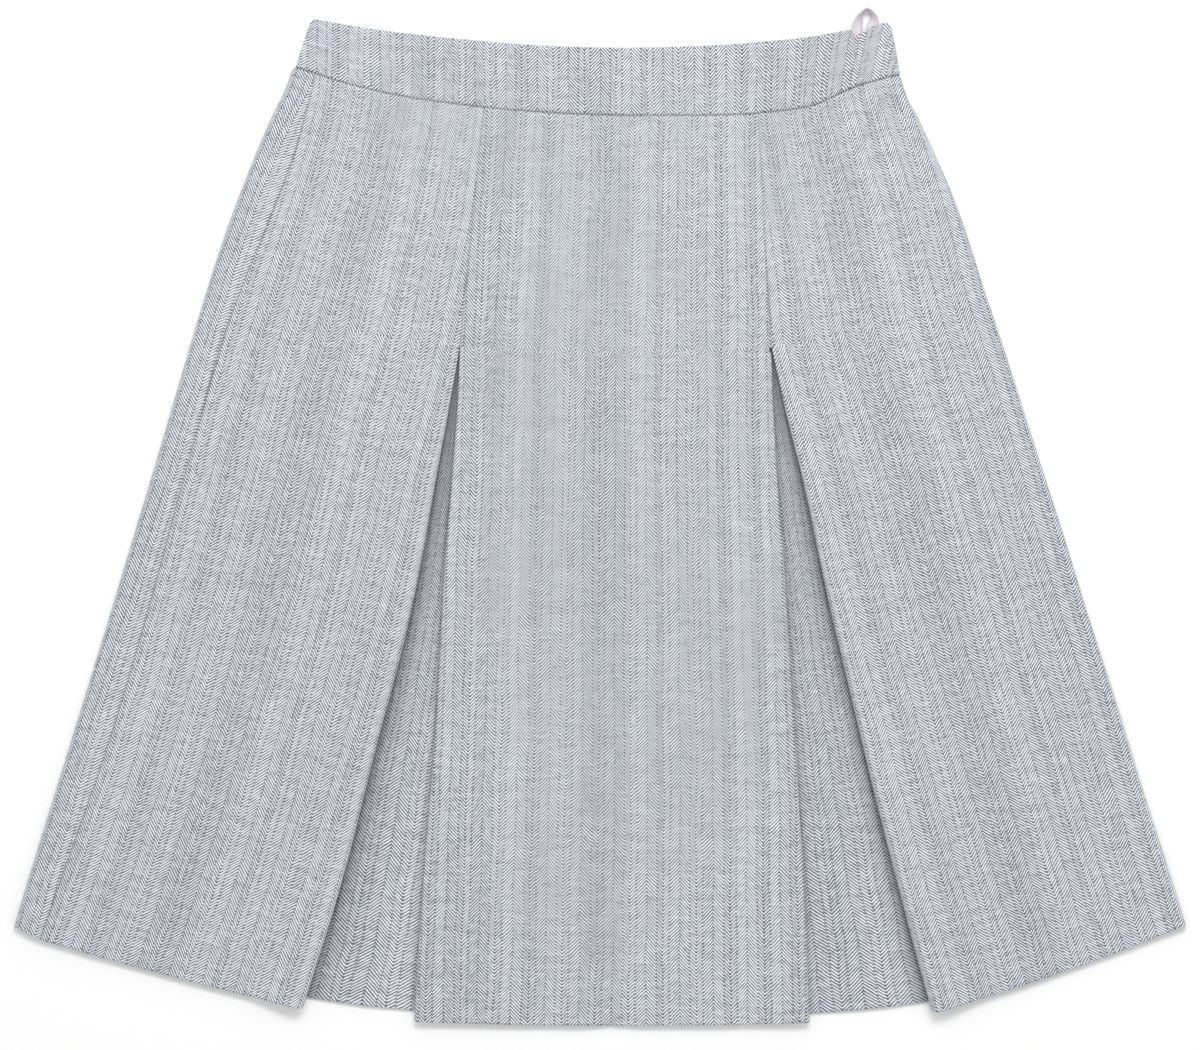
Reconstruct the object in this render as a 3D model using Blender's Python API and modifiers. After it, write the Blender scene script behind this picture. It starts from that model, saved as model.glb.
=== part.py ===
"""Knee-length A-line skirt with two front box pleats, laid flat on its back.

The skirt is cut as a front centre panel, two front side panels, two pleat underlays,
a back panel and a doubled waistband in two halves, with a ribbon hanger loop inside
the right end of the band. Each piece is a wall of cloth made from sections that run
across it, one below the other from the waist to the hem. The back panel rolls over
the left edge onto the front, so the left side seam shows on the upper side.

Left and right are as seen from above. x runs to the right, y up to the waist and z up
from the surface that the skirt lies on. The tables and sizes are in millimetres.
"""

from collections import namedtuple
from math import cos, hypot, pi, radians, sin

import bpy
import numpy as np

MM = 0.001

# Cloth
CLOTH = 1.0  # wall of one layer, with its nap
BAND = 2.0  # wall of the waistband: two layers and their interfacing
RIBBON = 1.0  # wall of the hanger loop
GAP = 0.35  # air between layers, and between pieces at a seam
PITCH = CLOTH + GAP  # from one layer to the next above it

# How the layers lie
LOFT = 0.9  # air that the front keeps above the back away from the pleats
SIDE_LOFT = 0.8  # more of it where the cloth turns over at the sides
SIDE_REACH = 40.0
WAIST_LIFT = 0.5  # the front climbs to the band at the waist seam
WAIST_REACH = 35.0
EASE_MARGIN = 12.0  # the front stays level this far past the layers that hold it up
EASE_REACH = 28.0  # and then comes down to the back over this length
LOOP_LIFT = 1.8  # the band's right end lies on the hanger loop
LOOP_FROM = 135.0  # x where it starts to climb onto the loop
LOOP_REACH = 17.0
BEND_STEPS = 4  # faces round each folded edge
ROLL_STEPS = 3  # faces round each edge that only rolls down

# Pleats
OPENING = 106.0  # height of the point where the stitched seams end
SEAM_TOP = 253.0  # height of the pleat seams' upper ends
LEFT_SEAM_X = -73.1  # x of those ends
RIGHT_SEAM_X = 98.7
RETURN_TOP = 22.0  # width of the cloth folded under, at the opening
RETURN_HEM = 38.0  # and at the hem
RETURN_SHORT = 2.0  # the folded edge's far corner hangs this much short of the hem
UNDERLAY_TOP = OPENING + 12.0

# Waistband
BAND_LEFT_X = -182.0  # upper corners; the lower ones are the ends of the waist seam
BAND_RIGHT_X = 181.5
BACK_BAND_DROP = 1.5  # the back half of the band is hidden below the front half
NOTCH_X = 158.0  # the upper edge steps down here, where the loop comes out
NOTCH_DEPTH = 4.6
NOTCH_REACH = 18.0

# Hanger loop
RIBBON_WIDTH = 6.2

# Outline from the waist seam to the hem: the left and the right folded edge.
Side = namedtuple("Side", "y left right")
SIDES = (
    Side(281.0, -191.3, 187.0),
    Side(270.0, -195.0, 189.0),
    Side(248.0, -205.6, 199.4),
    Side(198.0, -226.3, 221.3),
    Side(135.0, -247.5, 242.5),
    Side(73.0, -265.6, 262.5),
    Side(-257.0, -366.2, 366.4),
)

# Width of the strip of back panel that shows on the front, left of the side seam.
SIDE_SEAM_TOP = 278.0
Strip = namedtuple("Strip", "y width")
STRIPS = (
    Strip(SIDE_SEAM_TOP, 14.0),
    Strip(245.0, 21.5),
    Strip(100.0, 19.0),
    Strip(-150.0, 23.5),
    Strip(-257.0, 19.0),
)

# Folded edges of the pleats below their opening. side_ edges belong to the side
# panels and centre_ edges to the centre panel; the underlays show between them.
Pleat = namedtuple("Pleat", "y side_left centre_left centre_right side_right")
PLEATS = (
    Pleat(OPENING, -87.7, -87.4, 106.8, 107.1),
    Pleat(72.0, -93.5, -88.8, 107.9, 114.6),
    Pleat(23.0, -102.5, -92.5, 110.7, 126.5),
    Pleat(-30.0, -111.9, -96.8, 115.0, 137.6),
    Pleat(-94.0, -126.3, -100.4, 118.8, 152.3),
    Pleat(-142.0, -139.2, -103.3, 121.9, 163.8),
    Pleat(-222.0, -159.4, -110.0, 126.8, 183.7),
    Pleat(-307.0, -185.5, -115.4, 130.5, 206.5),
)

# The waist seam and the band's upper edge above it.
Waist = namedtuple("Waist", "x seam top")
WAIST = (
    Waist(-191.3, 280.6, 312.4),
    Waist(-146.0, 267.2, 304.7),
    Waist(-87.0, 257.2, 297.8),
    Waist(-29.0, 252.0, 293.4),
    Waist(41.0, 250.5, 292.8),
    Waist(108.0, 252.8, 296.7),
    Waist(135.0, 257.2, 299.8),
    Waist(156.0, 267.2, 303.4),
    Waist(187.0, 276.3, 309.6),
)

# Hem of each piece: its x where it starts, ends, and its height there and halfway.
Hem = namedtuple("Hem", "x_start x_end start middle end")
STRIP_HEM = Hem(-366.2, -347.0, -256.6, -260.6, -264.0)
SIDE_LEFT_HEM = Hem(-347.0, -185.5, -264.2, -286.8, -306.4)
CENTRE_HEM = Hem(-115.4, 130.5, -315.4, -318.0, -316.0)
SIDE_RIGHT_HEM = Hem(206.5, 366.4, -308.8, -285.6, -256.6)
UNDERLAY_LEFT_HEM = Hem(-223.0, -78.0, -294.0, -305.6, -311.0)
UNDERLAY_RIGHT_HEM = Hem(92.0, 244.0, -311.5, -308.0, -297.0)
BACK_HEM = Hem(-366.2, 366.4, -256.6, -306.0, -256.6)

# Long soft troughs: the line that each follows, its half width and its depth.
Trough = namedtuple("Trough", "x0 y0 x1 y1 reach depth")
TROUGHS = (
    Trough(9.0, -10.0, 6.5, -325.0, 15.0, 0.9),
    Trough(186.0, 262.0, 146.0, 150.0, 14.0, 0.8),
    Trough(-137.0, 241.0, -100.0, 190.0, 15.0, 0.5),
    Trough(-222.0, -27.0, -190.0, -220.0, 20.0, 0.6),
    Trough(209.0, 22.0, 206.0, -80.0, 20.0, 0.5),
    Trough(256.0, 20.0, 293.0, -80.0, 18.0, 0.5),
)

# The hanger loop's middle line, up one strand and down the other. turn is how far
# the ribbon stands on its edge there, in degrees.
Ribbon = namedtuple("Ribbon", "x y z turn")
RIBBON_LINE = (
    Ribbon(160.2, 289.0, 2.85, 0.0),
    Ribbon(160.3, 302.5, 2.85, 0.0),
    Ribbon(161.3, 309.0, 3.0, 30.0),
    Ribbon(163.2, 313.8, 3.4, 70.0),
    Ribbon(166.8, 317.2, 3.6, 90.0),
    Ribbon(170.4, 313.8, 3.4, 70.0),
    Ribbon(171.3, 309.4, 3.0, 30.0),
    Ribbon(170.0, 304.5, 2.85, 0.0),
    Ribbon(169.7, 289.0, 2.85, 0.0),
)
RIBBON_STEPS = 4  # sections from one row of that table to the next

# Columns and rows of the panels
FRONT_COLUMNS = 6  # from one row of the waist table to the next
BACK_COLUMNS = 3
STRIP_COLUMNS = 3
RETURN_COLUMNS = 3
UNDERLAY_COLUMNS = 8
BAND_ROWS = 4
ROWS_ABOVE = 8  # from the waist seam to the pleats' opening
ROWS_BELOW = 15  # from there to the hem
BACK_OPENING = 0.26  # share of the back's length above that height

# Materials: colour, roughness
CLOTH_FINISH = ("herringbone_cloth", (0.49, 0.51, 0.57), 0.85)
RIBBON_FINISH = ("satin_ribbon", (0.68, 0.63, 0.68), 0.35)


def smooth_line(table, key, column, at):
    """Value of a column at some places along the key, on a smooth line through the rows."""
    keys = np.array([getattr(row, key) for row in table])
    values = np.array([getattr(row, column) for row in table])
    order = np.argsort(keys)
    keys = keys[order]
    values = values[order]
    slopes = np.gradient(values, keys)
    i = int(np.clip(np.searchsorted(keys, at) - 1, 0, len(keys) - 2))
    step = keys[i + 1] - keys[i]
    t = (at - keys[i]) / step
    start = values[i] * (1 + 2 * t) * (1 - t) ** 2 + slopes[i] * step * t * (1 - t) ** 2
    end = values[i + 1] * t * t * (3 - 2 * t) + slopes[i + 1] * step * t * t * (t - 1)
    return float(start + end)


def mix(start, end, share):
    return start + (end - start) * share


def ease(share):
    """0 to 1 with level ends."""
    share = min(max(share, 0.0), 1.0)
    return share * share * (3 - 2 * share)


def layer(under):
    """Height of the middle of a layer of cloth with this many layers under it."""
    return CLOTH / 2 + under * PITCH


def left_edge(y):
    return smooth_line(SIDES, "y", "left", y)


def right_edge(y):
    return smooth_line(SIDES, "y", "right", y)


def side_seam(y):
    return left_edge(y) + smooth_line(STRIPS, "y", "width", y)


def waist_seam(x):
    return smooth_line(WAIST, "x", "seam", x)


def under_seam(x):
    """Upper edge of the pieces that hang from the band."""
    return waist_seam(x) - GAP / 2


def band_top(x):
    """Upper edge of the front of the band, with the step where the loop comes out."""
    step = 1 - ease((x - NOTCH_X) / NOTCH_REACH) if x > NOTCH_X else 0.0
    return smooth_line(WAIST, "x", "top", x) - NOTCH_DEPTH * step


def hem_height(hem, x):
    """Height of a hem at x, on the parabola through its start, middle and end."""
    s = (x - hem.x_start) / (hem.x_end - hem.x_start)
    start = hem.start * (1 - s) * (1 - 2 * s)
    middle = hem.middle * 4 * s * (1 - s)
    return start + middle + hem.end * s * (2 * s - 1)


def pleat_edge(column, y):
    """x of a pleat's folded edge and, above the opening, of the seam beside it."""
    if y <= OPENING:
        return smooth_line(PLEATS, "y", column, y)
    seam_x = LEFT_SEAM_X if column.endswith("left") else RIGHT_SEAM_X
    inward = 1 if column in ("centre_left", "side_right") else -1
    share = (y - OPENING) / (SEAM_TOP - OPENING)
    return mix(getattr(PLEATS[0], column), seam_x + inward * GAP / 2, share)


def return_width(y):
    """Width of the cloth folded under at a pleat's edge."""
    span = OPENING - PLEATS[-1].y
    return mix(RETURN_TOP, RETURN_HEM, max(0.0, (OPENING - y) / span))


def lift_of_pleats(x, y):
    """1 where the folded layers of a pleat hold the front up, 0 away from them."""
    up = 1 - ease((y - UNDERLAY_TOP - 2 * EASE_MARGIN) / (2 * EASE_REACH))
    width = return_width(y) + EASE_MARGIN
    most = 0.0
    for low_edge, high_edge in (("side_left", "centre_left"), ("centre_right", "side_right")):
        low = pleat_edge(low_edge, y) - width
        high = pleat_edge(high_edge, y) + width
        outside = max(low - x, x - high, 0.0)
        most = max(most, 1 - ease(outside / EASE_REACH))
    return most * up


def trough_at(x, y):
    """How far the soft troughs lower the cloth."""
    total = 0.0
    for fold in TROUGHS:
        along = (fold.x1 - fold.x0, fold.y1 - fold.y0)
        length = hypot(*along)
        share = ((x - fold.x0) * along[0] + (y - fold.y0) * along[1]) / length**2
        share = min(max(share, 0.0), 1.0)
        away = hypot(x - fold.x0 - share * along[0], y - fold.y0 - share * along[1])
        total += fold.depth * (1 - ease(away / fold.reach))
    return min(total, LOFT)


def front_height(x, y):
    """Height of the middle of the front's cloth."""
    held = lift_of_pleats(x, y)
    lowest = mix(layer(1), layer(3), held)
    loft = (LOFT - trough_at(x, y)) * (1 - held)
    from_side = min(x - left_edge(y), right_edge(y) - x)
    side = SIDE_LOFT * (1 - ease(from_side / SIDE_REACH))
    waist = WAIST_LIFT * (1 - ease((waist_seam(x) - y) / WAIST_REACH))
    return lowest + loft + side + waist


def band_height(x):
    """Height of the middle of the front half of the band."""
    return BAND + GAP + BAND / 2 + LOOP_LIFT * ease((x - LOOP_FROM) / LOOP_REACH)


def patch(left, right, top, bottom, u, v):
    """Point (x, y) inside four edges: u runs from left to right and v from top to bottom."""
    sides = np.array(left(v)) * (1 - u) + np.array(right(v)) * u
    ends = np.array(top(u)) * (1 - v) + np.array(bottom(u)) * v
    upper = np.array(top(0)) * (1 - u) + np.array(top(1)) * u
    lower = np.array(bottom(0)) * (1 - u) + np.array(bottom(1)) * u
    return sides + ends - upper * (1 - v) - lower * v


def side_line(x_at, y_top, y_hem):
    """Edge of a panel as a function of v, from its x at each height."""

    def point(v):
        y = mix(y_top, y_hem, v)
        return x_at(y), y

    return point


def cross_line(y_at, x_start, x_end):
    """Upper or lower edge of a panel as a function of u, from its height at each x."""

    def point(u):
        x = mix(x_start, x_end, u)
        return x, y_at(x)

    return point


def shares(opening):
    """How far down a panel each row is: rows above the pleats' opening, then those below."""
    above = [opening * i / ROWS_ABOVE for i in range(ROWS_ABOVE)]
    return above + [mix(opening, 1.0, i / ROWS_BELOW) for i in range(ROWS_BELOW + 1)]


def even(count):
    return [i / count for i in range(count + 1)]


def seam_shares(start, end, columns):
    """Shares from the point start to end where the waist seam has its corners.

    All pieces that meet at the seam have their columns there, so their edges match.
    """
    stations = []
    for row, following in zip(WAIST, WAIST[1:]):
        stations += [mix(row.x, following.x, i / columns) for i in range(columns)]
    found = [(x - start[0]) / (end[0] - start[0]) for x in stations]
    spare = 0.3 / len(stations)
    return [0.0] + [u for u in found if spare < u < 1 - spare] + [1.0]


def bend(x, y, upper, lower, outward, steps, turn=pi):
    """Points round a folded edge, from its upper layer down. x is the fold's middle."""
    radius = (upper - lower) / 2 if turn == pi else upper - lower
    points = []
    for i in range(1, steps + 1):
        angle = turn * i / steps
        points.append((x + outward * radius * sin(angle), y, upper - radius * (1 - cos(angle))))
    return points


def folded_under(column, y, share, hem, outward):
    """Points of a pleat's folded edge and of the cloth returned under it, at one row."""
    upper = layer(3)
    lower = layer(2)
    x = pleat_edge(column, y) - outward * (CLOTH / 2 + (upper - lower) / 2)
    points = bend(x, y, upper, lower, outward, BEND_STEPS)
    for w in even(RETURN_COLUMNS)[1:]:
        x_back = x - outward * return_width(y) * w
        to_hem = hem_height(hem, x_back) + RETURN_SHORT * w - hem_height(hem, x)
        points.append((x_back, y + share * to_hem, lower))
    return points


def inner_edge(column, y, outward):
    """x where a panel's flat part ends: at its seam, or where its folded edge starts to turn."""
    x = pleat_edge(column, y)
    if y >= OPENING:
        return x
    return x - outward * (CLOTH + PITCH) / 2


def panel_rows(edges, opening, folds=(), roll=False):
    """Rows of a front panel. folds gives its pleat edges and roll turns its right edge down."""
    left, right, top, bottom = edges
    columns = seam_shares(top(0), top(1), FRONT_COLUMNS)
    rows = []
    for v in shares(opening):
        row = []
        for u in columns:
            x, y = patch(left, right, top, bottom, u, v)
            row.append((x, y, front_height(x, y)))
        below = (v - opening) / (1 - opening)
        for column, hem, outward in folds:
            end = row[-1] if outward > 0 else row[0]
            if below > 0:
                under = folded_under(column, end[1], below, hem, outward)
            else:
                under = [None] * (BEND_STEPS + RETURN_COLUMNS)
            row = row + under if outward > 0 else under[::-1] + row
        if roll:
            x, y, z = row[-1]
            row += bend(x, y, z, CLOTH + GAP, 1, ROLL_STEPS, pi / 2)
        rows.append(row)
    return rows


def opening_share(edge):
    """Share of a pleat-side edge that lies above the opening."""
    y_top = edge(0)[1]
    return (y_top - OPENING) / (y_top - edge(1)[1])


def side_panel_left():
    y_seam = under_seam(side_seam(SIDE_SEAM_TOP))
    left = side_line(lambda y: side_seam(y) + GAP / 2, y_seam, SIDE_LEFT_HEM.start)
    y_top = under_seam(pleat_edge("side_left", SEAM_TOP))
    right = side_line(lambda y: inner_edge("side_left", y, 1), y_top, SIDE_LEFT_HEM.end)
    top = cross_line(under_seam, left(0)[0], right(0)[0])
    bottom = cross_line(lambda x: hem_height(SIDE_LEFT_HEM, x), left(1)[0], right(1)[0])
    folds = (("side_left", SIDE_LEFT_HEM, 1),)
    edges = (left, right, top, bottom)
    return panel_rows(edges, opening_share(right), folds)


def centre_panel():
    y_left = under_seam(pleat_edge("centre_left", SEAM_TOP))
    y_right = under_seam(pleat_edge("centre_right", SEAM_TOP))
    left = side_line(lambda y: inner_edge("centre_left", y, -1), y_left, CENTRE_HEM.start)
    right = side_line(lambda y: inner_edge("centre_right", y, 1), y_right, CENTRE_HEM.end)
    top = cross_line(under_seam, left(0)[0], right(0)[0])
    bottom = cross_line(lambda x: hem_height(CENTRE_HEM, x), left(1)[0], right(1)[0])
    folds = (("centre_left", CENTRE_HEM, -1), ("centre_right", CENTRE_HEM, 1))
    edges = (left, right, top, bottom)
    return panel_rows(edges, opening_share(left), folds)


def side_panel_right():
    y_top = under_seam(pleat_edge("side_right", SEAM_TOP))
    left = side_line(lambda y: inner_edge("side_right", y, -1), y_top, SIDE_RIGHT_HEM.start)
    roll_room = CLOTH / 2 + layer(1) + LOFT + SIDE_LOFT - CLOTH - GAP
    y_end = under_seam(WAIST[-1].x - roll_room)
    right = side_line(lambda y: right_edge(y) - roll_room, y_end, SIDE_RIGHT_HEM.end)
    top = cross_line(under_seam, left(0)[0], right(0)[0])
    bottom = cross_line(lambda x: hem_height(SIDE_RIGHT_HEM, x), left(1)[0], right(1)[0])
    folds = (("side_right", SIDE_RIGHT_HEM, -1),)
    edges = (left, right, top, bottom)
    return panel_rows(edges, opening_share(left), folds, roll=True)


def underlay(low_edge, high_edge, hem):
    """Flat piece behind a pleat. Its edges meet those of the two returns above it."""
    left = side_line(lambda y: pleat_edge(low_edge, y) - return_width(y), UNDERLAY_TOP, hem.start)
    right = side_line(lambda y: pleat_edge(high_edge, y) + return_width(y), UNDERLAY_TOP, hem.end)
    top = cross_line(lambda x: UNDERLAY_TOP, left(0)[0], right(0)[0])
    bottom = cross_line(lambda x: hem_height(hem, x), left(1)[0], right(1)[0])
    rows = []
    for v in even(ROWS_BELOW):
        points = [patch(left, right, top, bottom, u, v) for u in even(UNDERLAY_COLUMNS)]
        rows.append([(x, y, layer(1)) for x, y in points])
    return rows


def back_panel():
    """The lower layer, flat on the surface, and the strip that rolls over the left edge."""
    radius = (layer(1) + LOFT + SIDE_LOFT - layer(0)) / 2
    fold_in = CLOTH / 2 + radius
    y_left = under_seam(WAIST[0].x + fold_in)
    y_seam = under_seam(side_seam(SIDE_SEAM_TOP))
    y_right = under_seam(WAIST[-1].x - CLOTH / 2)
    seam = side_line(lambda y: side_seam(y) - GAP / 2, y_seam, STRIP_HEM.end)
    fold = side_line(lambda y: left_edge(y) + fold_in, y_left, STRIP_HEM.start)
    far = side_line(lambda y: right_edge(y) - CLOTH / 2, y_right, BACK_HEM.end)
    strip_top = cross_line(under_seam, fold(0)[0], seam(0)[0])
    strip_hem = cross_line(lambda x: hem_height(STRIP_HEM, x), fold(1)[0], seam(1)[0])
    lower_top = cross_line(under_seam, fold(0)[0], far(0)[0])
    lower_hem = cross_line(lambda x: hem_height(BACK_HEM, x), fold(1)[0], far(1)[0])
    columns = seam_shares(lower_top(0), lower_top(1), BACK_COLUMNS)
    rows = []
    for v in shares(BACK_OPENING):
        row = []
        for u in reversed(even(STRIP_COLUMNS)):
            x, y = patch(fold, seam, strip_top, strip_hem, u, v)
            row.append((x, y, front_height(x, y)))
        x, y, z = row[-1]
        row += bend(x, y, z, layer(0), -1, BEND_STEPS)
        for u in columns[1:]:
            x, y = patch(fold, far, lower_top, lower_hem, u, v)
            row.append((x, y, layer(0)))
        rows.append(row)
    return rows


def band_rows(x_ends, drop, height, columns):
    """Rows of half of the band, from its upper edge to the waist seam."""
    low_left, low_right = WAIST[0].x + x_ends, WAIST[-1].x - x_ends
    high_left, high_right = BAND_LEFT_X + x_ends, BAND_RIGHT_X - x_ends
    rows = []
    for v in even(BAND_ROWS):
        row = []
        for u in seam_shares((low_left,), (low_right,), columns):
            x_high = mix(high_left, high_right, u)
            x_low = mix(low_left, low_right, u)
            y = mix(band_top(x_high) - drop, waist_seam(x_low) + GAP / 2, v)
            x = mix(x_high, x_low, v)
            row.append((x, y, height(x)))
        rows.append(row)
    return rows


def band_front():
    """The upper half of the band. Its ends roll down to the lower half."""
    room = BAND + LOOP_LIFT / 2
    rolled = BAND + 2 * GAP
    rows = []
    for row in band_rows(room, 0.0, band_height, FRONT_COLUMNS):
        left = bend(*row[0], rolled, -1, ROLL_STEPS, pi / 2)
        right = bend(*row[-1], rolled, 1, ROLL_STEPS, pi / 2)
        rows.append(left[::-1] + row + right)
    return rows


def band_back():
    return band_rows(BAND / 2, BACK_BAND_DROP, lambda x: BAND / 2, BACK_COLUMNS)


def loop_rows():
    """Sections of the ribbon along its line: three points across, turned as the table says."""
    count = (len(RIBBON_LINE) - 1) * RIBBON_STEPS
    stations = [i / RIBBON_STEPS for i in range(count + 1)]
    Numbered = namedtuple("Numbered", ("number",) + Ribbon._fields)
    table = [Numbered(i, *row) for i, row in enumerate(RIBBON_LINE)]
    line = [[smooth_line(table, "number", c, s) for c in Ribbon._fields] for s in stations]
    rows = []
    for i, (x, y, z, turn) in enumerate(line):
        before = line[max(i - 1, 0)]
        after = line[min(i + 1, count)]
        along = (after[0] - before[0], after[1] - before[1])
        length = hypot(*along)
        outward = (-along[1] / length, along[0] / length)
        row = []
        for side in (-1, 0, 1):
            flat = side * RIBBON_WIDTH / 2 * cos(radians(turn))
            rise = side * RIBBON_WIDTH / 2 * sin(radians(turn))
            row.append((x + outward[0] * flat, y + outward[1] * flat, z + rise))
        rows.append(row)
    return rows


def clear_scene():
    for obj in list(bpy.data.objects):
        bpy.data.objects.remove(obj, do_unlink=True)


def make_material(name, colour, roughness):
    material = bpy.data.materials.new(name)
    material.use_nodes = True
    shader = material.node_tree.nodes["Principled BSDF"]
    shader.inputs["Base Color"].default_value = (*colour, 1.0)
    shader.inputs["Roughness"].default_value = roughness
    shader.inputs["Metallic"].default_value = 0.0
    return material


def make_cloth(name, rows, wall, material, collection):
    """A piece of cloth through rows of points; None leaves a row without that column."""
    index = {}
    points = []
    for i, row in enumerate(rows):
        for j, point in enumerate(row):
            if point is not None:
                index[i, j] = len(points)
                points.append(tuple(c * MM for c in point))
    faces = []
    for i, j in index:
        corners = ((i, j), (i + 1, j), (i + 1, j + 1), (i, j + 1))
        if all(corner in index for corner in corners):
            faces.append([index[corner] for corner in corners])
    mesh = bpy.data.meshes.new(name)
    mesh.from_pydata(points, [], faces)
    mesh.materials.append(material)
    obj = bpy.data.objects.new(name, mesh)
    collection.objects.link(obj)
    solidify = obj.modifiers.new("wall", "SOLIDIFY")
    solidify.thickness = wall * MM
    solidify.offset = 0.0
    solidify.use_even_offset = True
    mesh.shade_smooth()
    mesh.set_sharp_from_angle(angle=radians(40))


def main():
    clear_scene()
    collection = bpy.data.collections.new("pleated_skirt")
    bpy.context.scene.collection.children.link(collection)
    cloth = make_material(*CLOTH_FINISH)
    ribbon = make_material(*RIBBON_FINISH)
    left_underlay = underlay("side_left", "centre_left", UNDERLAY_LEFT_HEM)
    right_underlay = underlay("centre_right", "side_right", UNDERLAY_RIGHT_HEM)
    pieces = (
        ("waistband_front", band_front(), BAND, cloth),
        ("waistband_back", band_back(), BAND, cloth),
        ("front_centre_panel", centre_panel(), CLOTH, cloth),
        ("front_side_panel_left", side_panel_left(), CLOTH, cloth),
        ("front_side_panel_right", side_panel_right(), CLOTH, cloth),
        ("pleat_underlay_left", left_underlay, CLOTH, cloth),
        ("pleat_underlay_right", right_underlay, CLOTH, cloth),
        ("back_panel", back_panel(), CLOTH, cloth),
        ("hanger_loop", loop_rows(), RIBBON, ribbon),
    )
    for name, rows, wall, material in pieces:
        make_cloth(name, rows, wall, material, collection)


main()
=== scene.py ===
"""Pleated herringbone skirt, laid flat: its cloth, its hanger loop and a plain pale stage.

Each piece of cloth is a thin shell through sections that run across it, with its folds,
soft creases and seams, and carries a UV map named "grain" that holds its own weave
directions in metres: across the warp, and along it. The tables repeat the skirt's own
sizes in millimetres, with x to the right, y up to the waist and z off the surface.
"""

from collections import namedtuple
from math import pi, radians

import bpy
import numpy as np
from bpy.props import FloatProperty, FloatVectorProperty, PointerProperty
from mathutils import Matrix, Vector


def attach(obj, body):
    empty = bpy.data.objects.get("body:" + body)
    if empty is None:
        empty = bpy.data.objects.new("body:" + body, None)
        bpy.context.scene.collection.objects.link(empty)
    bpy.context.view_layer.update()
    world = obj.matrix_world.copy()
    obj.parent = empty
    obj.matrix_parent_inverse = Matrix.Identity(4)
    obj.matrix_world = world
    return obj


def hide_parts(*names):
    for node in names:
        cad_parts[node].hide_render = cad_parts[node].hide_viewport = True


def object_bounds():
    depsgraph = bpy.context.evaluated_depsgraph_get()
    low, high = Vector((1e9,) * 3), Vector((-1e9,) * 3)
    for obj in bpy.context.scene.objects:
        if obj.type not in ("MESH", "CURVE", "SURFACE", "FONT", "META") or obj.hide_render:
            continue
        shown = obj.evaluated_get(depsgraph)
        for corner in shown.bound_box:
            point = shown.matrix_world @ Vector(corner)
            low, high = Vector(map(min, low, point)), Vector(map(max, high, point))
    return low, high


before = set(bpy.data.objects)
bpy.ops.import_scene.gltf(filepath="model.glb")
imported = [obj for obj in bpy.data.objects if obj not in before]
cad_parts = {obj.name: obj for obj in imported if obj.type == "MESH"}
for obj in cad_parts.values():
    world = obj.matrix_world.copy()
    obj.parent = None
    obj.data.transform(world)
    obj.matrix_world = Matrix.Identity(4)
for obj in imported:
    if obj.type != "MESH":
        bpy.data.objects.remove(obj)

CAD_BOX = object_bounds()
BODY = "root"
MM = 0.001

bl_info = {
    "name": "Pleated skirt",
    "version": (1, 0, 0),
    "blender": (4, 5, 0),
    "location": "3D View > Sidebar > Skirt",
    "description": "Makes the cloth, the hanger loop and the stage of a skirt laid flat",
    "category": "Object",
}

# Layers of cloth, from the surface up
CLOTH = 1.0  # room of one layer
BAND = 2.0
GAP = 0.35
PITCH = CLOTH + GAP

# How the layers lie: each rise, and how far from its cause it takes to come or go
LOFT = 2.4  # air under the front away from the pleats
SIDE_LOFT = 0.7  # more of it beside the rolled sides
SIDE_REACH = 40.0
WAIST_LIFT = 0.3
WAIST_REACH = 35.0
EASE_MARGIN = 12.0  # the front stays up this far past the layers of a pleat
EASE_REACH = 34.0
LOOP_LIFT = 1.8  # the ribbon lifts the end of the band
LOOP_FROM = 135.0
LOOP_REACH = 17.0
DITCH = 0.9  # how far the cloth dips into a seam
DITCH_REACH = 2.4
HEM_ROUND = 0.4  # how far the hem's lower edge turns down
HEM_REACH = 1.5

# Pleats
OPENING = 106.0  # y below which a pleat is not sewn shut
SEAM_TOP = 253.0
LEFT_SEAM_X = -73.1  # x of a pleat's seam at the waist
RIGHT_SEAM_X = 98.7
RETURN_TOP = 22.0  # width of the cloth turned under at a pleat, at its opening and at the hem
RETURN_HEM = 38.0
RETURN_SHORT = 2.0
UNDERLAY_TOP = OPENING + 12.0
UNDERLAY_RISE = 0.9  # soft rise of the middle of an underlay where it shows
UNDERLAY_OPEN = 60.0  # width of an opening at which that is whole
SIDE_FOLD_LIFT = 5.5  # the side panels' folded edges stand this much off the layers under them
CENTRE_FOLD_LIFT = 1.4
FOLD_REACH = 42.0
FOLD_GROWS = 90.0  # length below the opening over which that grows

# Waistband and hanger loop
BAND_HEIGHT = 42.0
BAND_LEFT_X = -182.0
BAND_RIGHT_X = 181.5
BAND_LEAN = 0.25  # how far the warp leans at the right end of the band
BAND_LEAN_FROM = 90.0
BACK_BAND_DROP = 1.5
NOTCH_X = 158.0  # where the upper edge steps down for the loop
NOTCH_DEPTH = 4.6
NOTCH_REACH = 18.0
NOTCH_RUN = 2.0
CORNER_RADIUS = 3.0
RIBBON_WIDTH = 6.2
RIBBON_WALL = 0.9
RIBBON_SECTIONS = 97
RIBBON_COLUMNS = 9
RIBBON_CUP = 0.25  # rise of the ribbon's middle over its edges

# Back panel
SIDE_SEAM_TOP = 278.0
BACK_LENGTH = 537.0
BACK_WIDTH = 700.0
BACK_OPENING = 0.26  # share of its length at which it has a row for the pleats' opening

Side = namedtuple("Side", "y left right")
SIDES = (
    Side(281.0, -191.3, 187.0),
    Side(270.0, -195.0, 189.0),
    Side(248.0, -205.6, 199.4),
    Side(198.0, -226.3, 221.3),
    Side(135.0, -247.5, 242.5),
    Side(73.0, -265.6, 262.5),
    Side(-257.0, -366.2, 366.4),
)

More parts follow.
